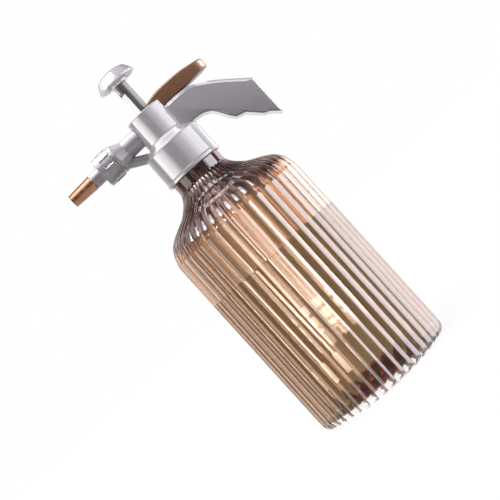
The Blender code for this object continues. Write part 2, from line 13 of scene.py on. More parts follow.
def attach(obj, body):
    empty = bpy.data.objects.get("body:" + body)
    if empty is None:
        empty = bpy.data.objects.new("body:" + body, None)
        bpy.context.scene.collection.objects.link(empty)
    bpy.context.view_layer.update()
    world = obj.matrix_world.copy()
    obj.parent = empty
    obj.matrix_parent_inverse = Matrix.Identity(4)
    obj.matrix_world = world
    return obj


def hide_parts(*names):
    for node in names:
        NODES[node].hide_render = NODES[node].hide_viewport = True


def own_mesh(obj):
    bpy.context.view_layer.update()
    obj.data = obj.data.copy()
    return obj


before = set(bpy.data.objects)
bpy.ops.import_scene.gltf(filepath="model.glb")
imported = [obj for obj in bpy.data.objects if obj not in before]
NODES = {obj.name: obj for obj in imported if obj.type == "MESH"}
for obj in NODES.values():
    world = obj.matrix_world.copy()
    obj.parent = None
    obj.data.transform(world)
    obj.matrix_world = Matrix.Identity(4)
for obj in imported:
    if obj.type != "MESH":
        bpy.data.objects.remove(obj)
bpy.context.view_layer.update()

MM = 0.001
SCENE = bpy.context.scene


# ------------------------------------------------------------------ camera
ROLL = math.radians(42.2)
cam_data = bpy.data.cameras.new("camera")
cam_data.lens = 89.5
cam_data.sensor_width = 36.0
cam_data.clip_start = 0.05
cam_data.clip_end = 20.0
cam = bpy.data.objects.new("camera", cam_data)
SCENE.collection.objects.link(cam)
cr, sr = math.cos(ROLL), math.sin(ROLL)
cam.matrix_world = Matrix(((cr, sr, 0.0, -0.0102),
                           (0.0, 0.0, -1.0, -0.91),
                           (-sr, cr, 0.0, 0.1376),
                           (0.0, 0.0, 0.0, 1.0)))
SCENE.camera = cam


# ------------------------------------------------------------------ node helpers
class Graph:
    """A node tree with short ways to add and join nodes."""

    def __init__(self, tree):
        self.tree = tree
        self.tree.nodes.clear()

    def add(self, kind, **settings):
        node = self.tree.nodes.new(kind)
        for key, value in settings.items():
            setattr(node, key, value)
        return node

    def join(self, out, into):
        self.tree.links.new(out, into)

    def put(self, value, socket):
        if isinstance(value, bpy.types.NodeSocket):
            self.join(value, socket)
        else:
            socket.default_value = value

    def math(self, operation, a, b=0.0, clamp=False):
        node = self.add("ShaderNodeMath", operation=operation, use_clamp=clamp)
        self.put(a, node.inputs[0])
        self.put(b, node.inputs[1])
        return node.outputs[0]

    def remap(self, value, low, high, out_low, out_high, smooth=False):
        node = self.add("ShaderNodeMapRange", clamp=True)
        if smooth:
            node.interpolation_type = "SMOOTHSTEP"
        self.put(value, node.inputs["Value"])
        self.put(low, node.inputs["From Min"])
        self.put(high, node.inputs["From Max"])
        self.put(out_low, node.inputs["To Min"])
        self.put(out_high, node.inputs["To Max"])
        return node.outputs["Result"]

    def mix(self, factor, a, b, blend="MIX"):
        node = self.add("ShaderNodeMix", data_type="RGBA", blend_type=blend)
        self.put(factor, node.inputs[0])
        self.put(a, node.inputs[6])
        self.put(b, node.inputs[7])
        return node.outputs[2]

    def noise(self, scale, detail=2.0, roughness=0.5, stretch=None, offset=(0.0, 0.0, 0.0)):
        place = self.add("ShaderNodeTexCoord").outputs["Object"]
        mapping = self.add("ShaderNodeMapping")
        mapping.inputs["Scale"].default_value = stretch or (1.0, 1.0, 1.0)
        mapping.inputs["Location"].default_value = offset
        self.join(place, mapping.inputs["Vector"])
        node = self.add("ShaderNodeTexNoise")
        node.inputs["Scale"].default_value = scale
        node.inputs["Detail"].default_value = detail
        node.inputs["Roughness"].default_value = roughness
        self.join(mapping.outputs["Vector"], node.inputs["Vector"])
        return node.outputs[0]

    def ramp(self, value, stops):
        node = self.add("ShaderNodeValToRGB")
        band = node.color_ramp
        band.interpolation = "LINEAR"
        while len(band.elements) > 1:
            band.elements.remove(band.elements[-1])
        band.elements[0].position = stops[0][0]
        band.elements[0].color = (*stops[0][1], 1.0)
        for place, colour in stops[1:]:
            element = band.elements.new(place)
            element.color = (*colour, 1.0)
        self.put(value, node.inputs["Fac"])
        return node.outputs["Color"]


def rgba(colour):
    return (*colour, 1.0)


def plastic(name, colour, darker, rough, spread, grain=2600.0, grain_height=0.00004, metallic=0.0,
            coat=0.0, ior=1.5, scuff=0.35, subsurface=0.0):
    """A moulded plastic: slow colour drift, fine grain, handling scuffs."""
    mat = bpy.data.materials.new(name)
    mat.use_nodes = True
    g = Graph(mat.node_tree)
    out = g.add("ShaderNodeOutputMaterial")
    bsdf = g.add("ShaderNodeBsdfPrincipled")
    g.join(bsdf.outputs[0], out.inputs["Surface"])
    drift = g.noise(38.0, 3.0, 0.55)
    speck = g.noise(900.0, 2.0, 0.6, offset=(0.3, 0.1, 0.7))
    tone = g.math("ADD", g.math("MULTIPLY", drift, 0.7), g.math("MULTIPLY", speck, 0.3))
    g.join(g.mix(g.remap(tone, 0.35, 0.65, 0.0, 1.0), rgba(darker), rgba(colour)), bsdf.inputs["Base Color"])
    scratches = g.noise(160.0, 6.0, 0.75, stretch=(1.0, 1.0, 9.0), offset=(0.9, 0.4, 0.2))
    worn = g.remap(scratches, 0.52, 0.72, 0.0, scuff)
    base = g.remap(drift, 0.3, 0.7, rough - spread, rough + spread)
    g.join(g.math("ADD", base, g.math("MULTIPLY", worn, 0.25), clamp=True), bsdf.inputs["Roughness"])
    bump = g.add("ShaderNodeBump")
    bump.inputs["Strength"].default_value = 0.35
    bump.inputs["Distance"].default_value = grain_height
    g.join(g.math("ADD", g.noise(grain, 3.0, 0.6), g.math("MULTIPLY", worn, 0.8)), bump.inputs["Height"])
    g.join(bump.outputs[0], bsdf.inputs["Normal"])
    bsdf.inputs["Metallic"].default_value = metallic
    bsdf.inputs["IOR"].default_value = ior
    bsdf.inputs["Coat Weight"].default_value = coat
    bsdf.inputs["Coat Roughness"].default_value = 0.14
    bsdf.inputs["Coat IOR"].default_value = 1.6
    bsdf.inputs["Subsurface Weight"].default_value = subsurface
    bsdf.inputs["Subsurface Radius"].default_value = (0.004, 0.003, 0.002)
    return mat


def clear(name, tint, absorb, density, ior, rough, ripple, coat=0.0, painted_light_zones=(), core=None):
    """A clear material with colour in its depth and faint waviness on its skin; painted_light_zones paint shade and
    highlight into its tint by height, and core paints the centre of the base a darker red as painted shade.
    """
    mat = bpy.data.materials.new(name)
    mat.use_nodes = True
    g = Graph(mat.node_tree)
    out = g.add("ShaderNodeOutputMaterial")
    bsdf = g.add("ShaderNodeBsdfPrincipled")
    g.join(bsdf.outputs[0], out.inputs["Surface"])
    drift = g.noise(24.0, 2.0, 0.5)
    skin = g.mix(drift, rgba(tuple(c * 0.96 for c in tint)), rgba(tint))
    if painted_light_zones:
        split = g.add("ShaderNodeSeparateXYZ")
        g.join(g.add("ShaderNodeTexCoord").outputs["Object"], split.inputs[0])
        # painted shade and painted highlight: each zone blends the tint towards its colour from one height to another
        for start, end, colour in painted_light_zones:
            skin = g.mix(g.remap(split.outputs[2], start * MM, end * MM, 0.0, 1.0, True), skin, rgba(colour))
        out_x, out_y = (g.math("MULTIPLY", v, v) for v in split.outputs[:2])
        reach = g.math("SQRT", g.math("ADD", out_x, out_y))
        # painted shade: within core's radii and below z 30-40 mm, in the centre of the base, the tint turns to core's
        # darker red
        base_centre_shade = g.math("MULTIPLY", g.remap(reach, core[0] * MM, core[1] * MM, 1.0, 0.0, True),
                       g.remap(split.outputs[2], 30.0 * MM, 40.0 * MM, 1.0, 0.0, True))
        skin = g.mix(base_centre_shade, skin, rgba(core[2]))
    g.join(skin, bsdf.inputs["Base Color"])
    smear = g.noise(70.0, 4.0, 0.6, stretch=(1.0, 1.0, 0.25), offset=(0.2, 0.6, 0.1))
    g.join(g.remap(smear, 0.45, 0.75, rough, rough + 0.02), bsdf.inputs["Roughness"])
    bump = g.add("ShaderNodeBump")
    bump.inputs["Strength"].default_value = 0.25
    bump.inputs["Distance"].default_value = ripple
    g.join(g.noise(55.0, 1.0, 0.4, stretch=(1.0, 1.0, 0.3)), bump.inputs["Height"])
    g.join(bump.outputs[0], bsdf.inputs["Normal"])
    bsdf.inputs["Transmission Weight"].default_value = 1.0
    bsdf.inputs["IOR"].default_value = ior
    if painted_light_zones:
        outer = g.add("ShaderNodeAttribute", attribute_name="outer_skin").outputs["Fac"]
        g.join(g.math("MULTIPLY", outer, coat), bsdf.inputs["Coat Weight"])
    bsdf.inputs["Coat IOR"].default_value = 1.9
    bsdf.inputs["Coat Roughness"].default_value = 0.02
    if absorb:
        depth = g.add("ShaderNodeVolumeAbsorption")
        depth.inputs["Color"].default_value = rgba(absorb)
        depth.inputs["Density"].default_value = density
        g.join(depth.outputs[0], out.inputs["Volume"])
    return mat


def metal(name, colour, darker, rough, turn_axis=(1.0, 1.0, 30.0)):
    """A turned metal with fine tool lines and dull patches."""
    mat = bpy.data.materials.new(name)
    mat.use_nodes = True
    g = Graph(mat.node_tree)
    out = g.add("ShaderNodeOutputMaterial")
    bsdf = g.add("ShaderNodeBsdfPrincipled")
    g.join(bsdf.outputs[0], out.inputs["Surface"])
    patches = g.noise(120.0, 4.0, 0.6)
    lines = g.noise(220.0, 3.0, 0.7, stretch=turn_axis)
    g.join(g.mix(g.remap(patches, 0.35, 0.7, 0.0, 1.0), rgba(darker), rgba(colour)), bsdf.inputs["Base Color"])
    g.join(g.remap(g.math("ADD", patches, lines), 0.6, 1.4, rough - 0.08, rough + 0.14), bsdf.inputs["Roughness"])
    bump = g.add("ShaderNodeBump")
    bump.inputs["Strength"].default_value = 0.3
    bump.inputs["Distance"].default_value = 0.00005
    g.join(lines, bump.inputs["Height"])
    g.join(bump.outputs[0], bsdf.inputs["Normal"])
    bsdf.inputs["Metallic"].default_value = 1.0
    return mat


def milky(name, colour, darker, rough, seen_through):
    """A natural unpigmented moulding: pale, waxy and partly see-through."""
    mat = plastic(name, colour, darker, rough, 0.06, grain=1800.0, scuff=0.2)
    g = Graph.__new__(Graph)
    g.tree = mat.node_tree
    out = next(n for n in g.tree.nodes if n.type == "OUTPUT_MATERIAL")
    bsdf = next(n for n in g.tree.nodes if n.type == "BSDF_PRINCIPLED")
    film = g.add("ShaderNodeBsdfTransparent")
    film.inputs["Color"].default_value = (1.0, 0.985, 0.95, 1.0)
    both = g.add("ShaderNodeMixShader")
    both.inputs[0].default_value = seen_through
    g.join(bsdf.outputs[0], both.inputs[1])
    g.join(film.outputs[0], both.inputs[2])
    g.join(both.outputs[0], out.inputs["Surface"])
    return mat


WHITE = plastic("white_plastic_fine", (0.335, 0.318, 0.347), (0.308, 0.292, 0.318), 0.20, 0.05, coat=1.0, grain_height=0.000006)
# painted shade: the head's copy of the white plastic is darker in colour than the handle's WHITE, standing for shade on
# the head
HEAD_WHITE_SHADED = plastic("head_plastic_painted_shade", (0.262, 0.250, 0.272), (0.240, 0.229, 0.249), 0.22, 0.05, coat=1.0, grain_height=0.000006)
# painted light: the nozzle's copy of the white plastic is lighter in colour than the handle's WHITE, standing for light
# on the nozzle, tube and nut
SPRAY_WHITE_LIT = plastic("spray_plastic_painted_light", (0.37, 0.354, 0.382), (0.34, 0.325, 0.35), 0.26, 0.05, coat=0.5, grain_height=0.000006)
ROD_GREY = plastic("rod_plastic_fine", (0.19, 0.182, 0.198), (0.168, 0.160, 0.175), 0.24, 0.05, coat=0.3, grain_height=0.000006)
BROWN = plastic("brown_plastic_fine", (0.19, 0.089, 0.051), (0.165, 0.075, 0.043), 0.27, 0.06, coat=0.25)
COPPER = metal("copper_fine", (0.40, 0.206, 0.127), (0.265, 0.131, 0.081), 0.40, (30.0, 1.0, 1.0))
PALE = plastic("pale_plastic_fine", (0.84, 0.79, 0.70), (0.78, 0.73, 0.64), 0.36, 0.07)
BARREL = milky("barrel_plastic_fine", (0.88, 0.83, 0.74), (0.82, 0.77, 0.68), 0.34, 0.80)
TUBE = milky("dip_tube_fine", (0.90, 0.87, 0.80), (0.84, 0.81, 0.74), 0.32, 0.25)
RUBBER = plastic("rubber_fine", (0.035, 0.034, 0.034), (0.022, 0.022, 0.022), 0.62, 0.10, grain=1500.0)
STEEL = metal("steel_fine", (0.64, 0.64, 0.65), (0.50, 0.50, 0.52), 0.26)
# painted shade: the amber darkens in steps up the shoulder and neck, from z 163 mm to 203 mm; painted highlight: from z
# 9 mm down to 4 mm the heel's tint turns to colourless white
AMBER = clear("amber_fine", (0.74, 0.60, 0.49), (0.60, 0.34, 0.08), 90.0, 1.55, 0.0, 0.0001, coat=0.8,
              painted_light_zones=[(163.0, 175.0, (0.50, 0.385, 0.405)), (178.0, 192.0, (0.33, 0.24, 0.28)), (194.0, 203.0, (0.15, 0.085, 0.085)), (9.0, 4.0, (1.0, 1.0, 1.0))],
              # painted shade: the centre of the base is tinted a darker red
              core=(31.0, 36.0, (0.56, 0.10, 0.06)))
WATER = clear("water_fine", (0.96, 0.96, 0.87), None, 0.0, 1.333, 0.0, 0.00005)


# ------------------------------------------------------------------ mesh helpers
def corner(points, closed=False, steps=5):
    """A profile (r, z, fillet) with each corner turned into a small curve."""
    count = len(points)
    line = []
    for i, point in enumerate(points):
        p = Vector(point[:2])
        fillet = point[2] if len(point) > 2 else 0.0
        if fillet == 0.0 or (not closed and i in (0, count - 1)):
            line.append(tuple(p))
            continue
        a = Vector(points[(i - 1) % count][:2]) - p
        b = Vector(points[(i + 1) % count][:2]) - p
        bend = math.pi - a.angle(b)
        reach = min(fillet * math.tan(bend / 2.0), 0.47 * a.length, 0.47 * b.length)
        a, b = p + a.normalized() * reach, p + b.normalized() * reach
        for k in range(steps + 1):
            t = k / steps
            line.append(tuple(a * (1 - t) ** 2 + p * (2 * t * (1 - t)) + b * t * t))
    return line


def smooth_line(points, cuts):
    """A curve through the points, with cuts pieces between each two."""
    line = []
    for i in range(len(points) - 1):
        p0 = points[max(0, i - 1)]
        p1, p2 = points[i], points[i + 1]
        p3 = points[min(len(points) - 1, i + 2)]
        for k in range(cuts):
            t = k / cuts
            line.append(tuple(0.5 * (2 * b + (c - a) * t + (2 * a - 5 * b + 4 * c - d) * t * t
                                     + (3 * b - a - 3 * c + d) * t ** 3)
                              for a, b, c, d in zip(p0, p1, p2, p3)))
    line.append(tuple(points[-1]))
    return line


def made(name, bm, at=None):
    """A mesh object in the scene from a bmesh, with its normals facing out."""
    bmesh.ops.recalc_face_normals(bm, faces=bm.faces)
    mesh = bpy.data.meshes.new(name)
    bm.to_mesh(mesh)
    bm.free()
    ob = bpy.data.objects.new(name, mesh)
    SCENE.collection.objects.link(ob)
    if at is not None:
        ob.matrix_world = at
    return ob


def revolve(name, rows, count, closed=False, shape=None, at=None):
    """Rings of points about Z; shape(row, angle) may change a ring's radius."""
    bm = bmesh.new()
    loops = []
    for n, row in enumerate(rows):
        r, z = row[0], row[1]
        if r <= 1e-9:
            loops.append([bm.verts.new((0.0, 0.0, z * MM))])
            continue
        loop = []
        for i in range(count):
            a = math.tau * i / count
            q = shape(row, a) if shape else r
            loop.append(bm.verts.new((q * math.cos(a) * MM, q * math.sin(a) * MM, z * MM)))
        loops.append(loop)
    pairs = list(zip(loops, loops[1:]))
    if closed:
        pairs.append((loops[-1], loops[0]))
    for low, high in pairs:
        if len(low) == 1 or len(high) == 1:
            tip, rim = (low[0], high) if len(low) == 1 else (high[0], low)
            for i in range(count):
                bm.faces.new((tip, rim[i], rim[(i + 1) % count]))
        else:
            for i in range(count):
                j = (i + 1) % count
                bm.faces.new((low[i], low[j], high[j], high[i]))
    return made(name, bm, at)


def prism(name, outline, half, at=None):
    """An outline (x, z) in mm pushed out both ways along Y."""
    bm = bmesh.new()
    ring = [bm.verts.new((x * MM, -half * MM, z * MM)) for x, z in outline]
    out = bmesh.ops.extrude_face_region(bm, geom=[bm.faces.new(ring)])
    moved = [v for v in out["geom"] if isinstance(v, bmesh.types.BMVert)]
    bmesh.ops.translate(bm, verts=moved, vec=(0.0, 2.0 * half * MM, 0.0))
    return made(name, bm, at)


TURNOVER = [(1.0, 0.0), (0.90, 0.03), (0.80, 0.09), (0.45, 0.45), (0.09, 0.80), (0.03, 0.90), (0.0, 1.0)]


def edged_prism(name, outline, half, widths):
    """An outline (x, z) in mm pushed out along Y, its edges turned over by each point's own width."""
    points = [Vector(p) for p in outline]
    count = len(points)
    area = sum(a.x * b.y - b.x * a.y for a, b in zip(points, points[1:] + points[:1]))
    inward = []
    for i, p in enumerate(points):
        a, b = (p - points[i - 1]).normalized(), (points[(i + 1) % count] - p).normalized()
        lean = (a + b).normalized()
        inward.append(Vector((-lean.y, lean.x)) * (math.copysign(1.0, area) / max(0.5, lean.dot(a))))
    rings = []
    bm = bmesh.new()
    for side in (-1.0, 1.0):
        for inset, drop in TURNOVER[::int(-side)]:
            rings.append([bm.verts.new(((p.x + n.x * w * inset) * MM, side * (half - w * drop) * MM, (p.y + n.y * w * inset) * MM))
                          for p, n, w in zip(points, inward, widths)])
    for a, b in zip(rings, rings[1:]):
        for i in range(count):
            j = (i + 1) % count
            bm.faces.new((a[i], a[j], b[j], b[i]))
    bm.faces.new(rings[0])
    bm.faces.new(rings[-1])
    return made(name, bm)


def block(name, x0, x1, y0, y1, z0, z1, at=None):
    ob = prism(name, [(x0, z0), (x1, z0), (x1, z1), (x0, z1)], 0.5 * (y1 - y0), at)
    ob.data.transform(Matrix.Translation((0.0, 0.5 * (y0 + y1) * MM, 0.0)))
    return ob


def bar(name, a, b, radius, count):
    """A round bar between two points in mm."""
    axis = b - a
    turn = Vector((0.0, 0.0, 1.0)).rotation_difference(axis).to_matrix().to_4x4()
    at = Matrix.Translation(a * MM) @ turn
    return revolve(name, [(0, axis.length), (radius, axis.length), (radius, 0), (0, 0)], count, at=at)


def cut(ob, tool, operation="DIFFERENCE"):
    """A boolean that is applied at once; the tool is used up."""
    bpy.context.view_layer.update()
    mod = ob.modifiers.new("cut", "BOOLEAN")
    mod.operation = operation
    mod.solver = "EXACT"
    mod.object = tool
    settle(ob)
    bpy.data.objects.remove(tool, do_unlink=True)


def settle(ob):
    """Turn an object's modifiers into its mesh."""
    bpy.context.view_layer.update()
    done = bpy.data.meshes.new_from_object(ob.evaluated_get(bpy.context.evaluated_depsgraph_get()))
    ob.modifiers.clear()
    old = ob.data
    ob.data = done
    bpy.data.meshes.remove(old)


def dress(ob, mat, body, nodes=(), sharp=32.0):
    """Shade a finished piece, give it its finish, and hang it on its body."""
    ob.data.materials.clear()
    ob.data.materials.append(mat)
    for face in ob.data.polygons:
        face.use_smooth = True
        face.material_index = 0
    ob.data.set_sharp_from_angle(angle=math.radians(sharp))
    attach(ob, body)
    if nodes:
        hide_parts(*nodes)
    return ob


# ------------------------------------------------------------------ sizes shared with the frame
RIBS, BOTTLE_R, SHOULDER_Z = 40, 58.0, 162.0
PITCH, TURNS, THREAD_Z = 4.0, 1.5, 217.0
RIM_Z, NECK_ROOT_R, NECK_IN_R = 229.5, 20.2, 18.4
TURRET_R, TURRET_IN_R, TURRET_TOP_Z = 16.2, 14.1, 264.0
SKIRT_Z, SKIRT_R, SKIRT_IN_R = 208.6, 23.8, 22.2
DECK_LOW_Z, DECK_TOP_Z = 231.5, 238.0
PIVOT = Vector((-9.0, 0.0, 241.5))
DUCT_A, DUCT_B, DUCT_R = Vector((-34.5, 0.0, 244.4)), Vector((-15.5, 0.0, 234.3)), 3.9
DIP_X = -15.2
WATER_Z = 124.0

TILT = math.radians(1.8)
ct, st = math.cos(TILT), math.sin(TILT)
SPRAY = Matrix(((-st, 0.0, -ct, -16.0 * MM), (0.0, 1.0, 0.0, 0.0), (ct, 0.0, -st, 252.75 * MM), (0.0, 0.0, 0.0, 1.0)))


def ridge(angle, z, start, foot, crest):
    """How far up a thread ridge a point stands, 0 to 1."""
    best = 0.0
    for turn in (0, 1):
        go = angle / math.tau + turn
        if go > TURNS:
            continue
        taper = min(1.0, go * 9.0 + 0.12, (TURNS - go) * 9.0 + 0.12)
        off = abs(z - (start + PITCH * go))
        best = max(best, taper * min(1.0, max(0.0, (foot - off) / (foot - crest))))
    return best


# ------------------------------------------------------------------ bottle
REED = 1.4
DOME_LOW = [(r, z, 0.0) for r, z in smooth_line([(0.0, 15.5), (7.0, 15.1), (12.5, 13.9), (17.5, 11.7), (22.0, 8.6), (26.5, 4.9), (30.5, 1.6),
                                                 (34.5, 0.0)], 4)]
OUTER = smooth_line([(51.0, 0.0, 0.5), (53.2, 0.45, 0.7), (55.0, 1.5, 0.95), (56.4, 3.1, 1.2), (57.35, 5.2, 1.35), (57.85, 7.6, REED),
                     (BOTTLE_R, 10.5, REED)], 3)
OUTER += [(BOTTLE_R, z, REED) for z in (15.0, 40.0, 70.0, 100.0, 130.0, 150.0)]
OUTER += smooth_line([(BOTTLE_R, 158.0, REED), (BOTTLE_R, SHOULDER_Z, REED), (56.9, 165.6, REED), (55.7, 169.3, 1.35),
                      (53.8, 172.9, 1.3), (51.1, 176.6, 1.2), (46.4, 180.3, 1.1), (39.7, 183.9, 1.0),
                      (32.3, 187.6, 0.9), (27.8, 191.2, 0.8), (24.2, 194.9, 0.6), (21.9, 198.6, 0.35),
                      (21.25, 201.0, 0.0)], 4)[:-1]
OUTER += [(21.2, 201.2, 0.0), (21.25, 206.0, 0.0), (21.3, 210.7, 0.0), (21.1, 211.2, 0.0), (20.4, 211.7, 0.0),
          (NECK_ROOT_R, 212.2, 0.0)]
OUTER = [(min(r, BOTTLE_R), z, depth) for r, z, depth in OUTER]
THREAD_ROWS = [(NECK_ROOT_R, 214.4 + 0.3 * i, -1.0) for i in range(40)]
INNER = [(NECK_ROOT_R, RIM_Z - 0.6, 0.0), (NECK_ROOT_R - 0.2, RIM_Z - 0.15, 0.0), (NECK_ROOT_R - 0.6, RIM_Z, 0.0),
         (NECK_IN_R + 0.4, RIM_Z, 0.0), (NECK_IN_R + 0.1, RIM_Z - 0.15, 0.0), (NECK_IN_R, RIM_Z - 0.5, 0.0)]
INNER += [(r, z, 0.0) for r, z in smooth_line(
    [(NECK_IN_R, 210.0), (NECK_IN_R, 203.0), (19.0, 199.0), (21.4, 194.6), (25.5, 190.2), (30.5, 186.6),
     (38.0, 182.6), (45.0, 178.6), (51.6, 172.4), (54.6, 166.0), (55.4, 158.0)], 5)]
INNER += [(55.4, 130.0, 0.0), (55.4, 90.0, 0.0), (55.4, 50.0, 0.0), (55.4, 13.0, 0.0)]
INNER += [(r, z, 0.0) for r, z in smooth_line([(55.4, 11.0), (55.1, 8.6), (54.2, 6.6), (52.3, 4.9), (49.0, 4.0), (44.0, 4.0), (38.5, 4.0), (35.0, 4.9),
                                               (31.0, 7.4), (26.5, 11.2), (21.0, 15.0), (14.5, 17.9), (8.0, 19.1), (0.0, 19.5)], 4)]


def reeded(row, angle):
    r, z, depth = row
    if depth < 0.0:
        return r + 1.3 * ridge(angle, z, THREAD_Z, 0.85, 0.45)
    if depth == 0.0:
        return r
    half = math.pi * r / RIBS
    arc = (half * half + depth * depth) / (2.0 * depth)
    t = (angle / math.tau * RIBS) % 1.0
    u = min(t, 1.0 - t) * 2.0 * half
    return r - (arc - math.sqrt(max(0.0, arc * arc - u * u)))


bottle = revolve("reeded_bottle", DOME_LOW + OUTER + THREAD_ROWS + INNER, RIBS * 12, shape=reeded)
gloss = bottle.data.attributes.new("outer_skin", "FLOAT", "POINT")
first = 1 + (len(DOME_LOW) - 1) * RIBS * 12
last = first + (len(OUTER) + len(THREAD_ROWS)) * RIBS * 12
for i, spot in enumerate(gloss.data):
    spot.value = 1.0 if first <= i < last else 0.0
dress(bottle, AMBER, "bottle", ["bottle"], sharp=40.0)

# the filling: it wets the wall, so it stands a little way into it
FILL = [(r, z) for r, z in smooth_line([(0.0, 19.4), (8.0, 19.0), (14.5, 17.8), (21.0, 14.9), (26.5, 11.1), (31.0, 7.3), (35.0, 4.8), (38.5, 3.9),
                                        (44.0, 3.9), (49.1, 3.9), (52.4, 4.8), (54.3, 6.5), (55.25, 8.6), (55.55, 11.0)], 4)]
FILL += [(55.55, 60.0), (55.55, WATER_Z + 0.9), (55.3, WATER_Z + 0.45), (54.6, WATER_Z + 0.12), (53.4, WATER_Z), (30.0, WATER_Z),
         (0.0, WATER_Z)]
water = revolve("water_filling", FILL, 160)
dress(water, WATER, "bottle", sharp=40.0)

# ------------------------------------------------------------------ head
HEAD_ROWS = corner([(TURRET_IN_R, DECK_TOP_Z), (TURRET_IN_R, TURRET_TOP_Z, 0.5), (TURRET_R - 0.15, TURRET_TOP_Z, 1.5),
                    (TURRET_R + 0.3, 240.2, 2.6), (18.6, 238.1, 1.2), (SKIRT_R - 0.35, 234.4, 2.6), (SKIRT_R, 212.0, 0.8),
                    (SKIRT_R + 0.4, 210.8, 0.6), (SKIRT_R + 0.4, SKIRT_Z, 0.35), (SKIRT_IN_R, SKIRT_Z, 0.4),
                    (SKIRT_IN_R, 211.0)], steps=7)
HEAD_ROWS = [(r, z, 0.0) for r, z in HEAD_ROWS]
HEAD_ROWS += [(SKIRT_IN_R, 212.2 + 0.3 * i, -1.0) for i in range(40)]
HEAD_ROWS += [(SKIRT_IN_R, DECK_LOW_Z, 0.0), (10.85, DECK_LOW_Z, 0.0), (10.85, 236.3, 0.0), (6.9, 236.3, 0.0),
              (6.9, DECK_TOP_Z, 0.0)]


def cap_thread(row, angle):
    r, z, kind = row
    return r - 1.3 * ridge(angle, z, THREAD_Z - 0.5 * PITCH, 0.85, 0.45) if kind < 0.0 else r


head = revolve("sprayer_head", HEAD_ROWS, 144, closed=True, shape=cap_thread)
for side in (-1, 1):
    cut(head, block("lug", -11.3, -6.7, side * 9.7 - 1.0, side * 9.7 + 1.0, DECK_TOP_Z - 1.0, 244.6), "UNION")
cut(head, bar("hole", Vector((PIVOT.x, -10.75, PIVOT.z)), Vector((PIVOT.x, 10.75, PIVOT.z)), 1.5, 32))
NOTCH = corner([(-8.9, 270.0), (-8.9, 252.3, 1.6), (8.9, 252.3, 1.6), (8.9, 270.0)], steps=6)
notch = prism("notch", NOTCH, 5.0, Matrix.Translation((14.0 * MM, 0.0, 0.0)) @ Matrix.Rotation(math.radians(90.0), 4, "Z"))
cut(head, notch)
cut(head, revolve("hole", [(0, 4.0), (4.3, 4.0), (4.3, -3.0), (0, -3.0)], 48, at=SPRAY))
cut(head, bar("hole", DUCT_A, DUCT_B, 1.4, 24))
cut(head, bar("hole", Vector((DIP_X, 0.0, 229.0)), Vector((DIP_X, 0.0, 235.0)), 2.75, 32))
dress(head, HEAD_WHITE_SHADED, "head", ["head_body"])

ENVELOPE = corner([(0.0, 275.0), (TURRET_R + 0.3, 275.0), (TURRET_R + 0.3, 262.0), (TURRET_R + 0.62, 240.6, 1.5), (17.75, 239.1, 0.5),
                   (22.5, 235.65, 0.8), (23.75, 234.2, 0.6), (SKIRT_R + 0.1, 232.4), (SKIRT_R + 0.4, 205.0), (0.0, 205.0)])


def envelope():
    return revolve("envelope", ENVELOPE, 144)


# ------------------------------------------------------------------ handle
HANDLE_TOP = [(12.0, 257.0), (21.5, 257.6), (32.6, 257.1), (39.3, 255.2), (43.7, 252.9),
              (54.8, 245.5), (65.9, 236.7), (75.3, 228.8)]
HANDLE_LOW = [(75.3, 196.6), (71.4, 199.8), (68.1, 202.6), (64.2, 204.3), (61.5, 207.0),
              (58.1, 210.4), (54.8, 213.7), (51.5, 214.8), (47.6, 216.1), (44.8, 219.2),
              (42.6, 222.6), (40.4, 226.4), (37.0, 230.9), (32.6, 233.4), (28.2, 234.6),
              (21.0, 234.9), (12.0, 235.2)]
HANDLE_LINES = []
for line in (smooth_line(HANDLE_TOP, 8), smooth_line(HANDLE_LOW, 6)):
    clear_of_ends = [p for p in line[1:-1] if min(math.dist(p, line[0]), math.dist(p, line[-1])) > 4.2]
    HANDLE_LINES.append([line[0]] + clear_of_ends + [line[-1]])
HANDLE_EDGES = [3.1] * (len(HANDLE_LINES[0]) - 1) + [1.5] * (len(HANDLE_LINES[1]) + 1)
handle = edged_prism("grip_handle", HANDLE_LINES[0] + HANDLE_LINES[1], 11.0, HANDLE_EDGES)
cut(handle, envelope())
CHANNEL = corner([(8.0, 270.0), (62.0, 270.0), (47.5, 247.6, 4.0), (40.0, 234.0, 3.0), (35.0, 236.8, 6.0),
                  (29.0, 238.0, 8.0), (21.0, 238.6, 8.0), (8.0, 238.8)], steps=7)
cut(handle, prism("channel", CHANNEL, 8.9))
dress(handle, WHITE, "head", ["handle"])

# ------------------------------------------------------------------ trigger
TOP_LINE = smooth_line([(-13.55, 256.5), (-9.0, 257.3), (-4.0, 260.6), (1.6, 264.4), (7.1, 267.2), (16.0, 268.9), (27.0, 269.1),
                        (38.2, 268.7), (48.2, 267.2), (55.9, 266.0), (57.15, 265.3)], 6)
LOW_LINE = smooth_line([(-13.55, 246.45), (-6.6, 246.3), (-3.5, 250.8), (3.0, 255.2), (9.5, 256.9), (18.2, 257.4), (32.6, 257.5),
                        (43.7, 257.8), (55.9, 258.6), (57.15, 259.5)], 6)


def height_at(line, x):
    for (x0, z0), (x1, z1) in zip(line, line[1:]):
        if x0 <= x <= x1:
            return z0 + (z1 - z0) * (x - x0) / (x1 - x0)
    return line[-1][1] if x > line[-1][0] else line[0][1]


def half_at(x):
    """Half width of the lever: round in the turret, straight, then a round end."""
    if x < -10.6:
        return min(8.2, math.sqrt(max(0.0, 13.6 * 13.6 - x * x)))
    if x < 47.5:
        return 8.2
    t = (x - 47.5) / (57.25 - 47.5)
    return 8.2 * math.sqrt(max(0.0, 1.0 - t ** 2.6))


def rounded_section(half, low, high, radius, steps=5):
    radius = min(radius, 0.48 * (high - low), 0.9 * half)
    ring = []
    for cy, cz, turn in ((half - radius, high - radius, 0.0), (-half + radius, high - radius, 0.25),
                         (-half + radius, low + radius, 0.5), (half - radius, low + radius, 0.75)):
        for k in range(steps + 1):
            a = math.tau * (turn + 0.25 * k / steps)
            ring.append((cy + radius * math.cos(a), cz + radius * math.sin(a)))
    return ring


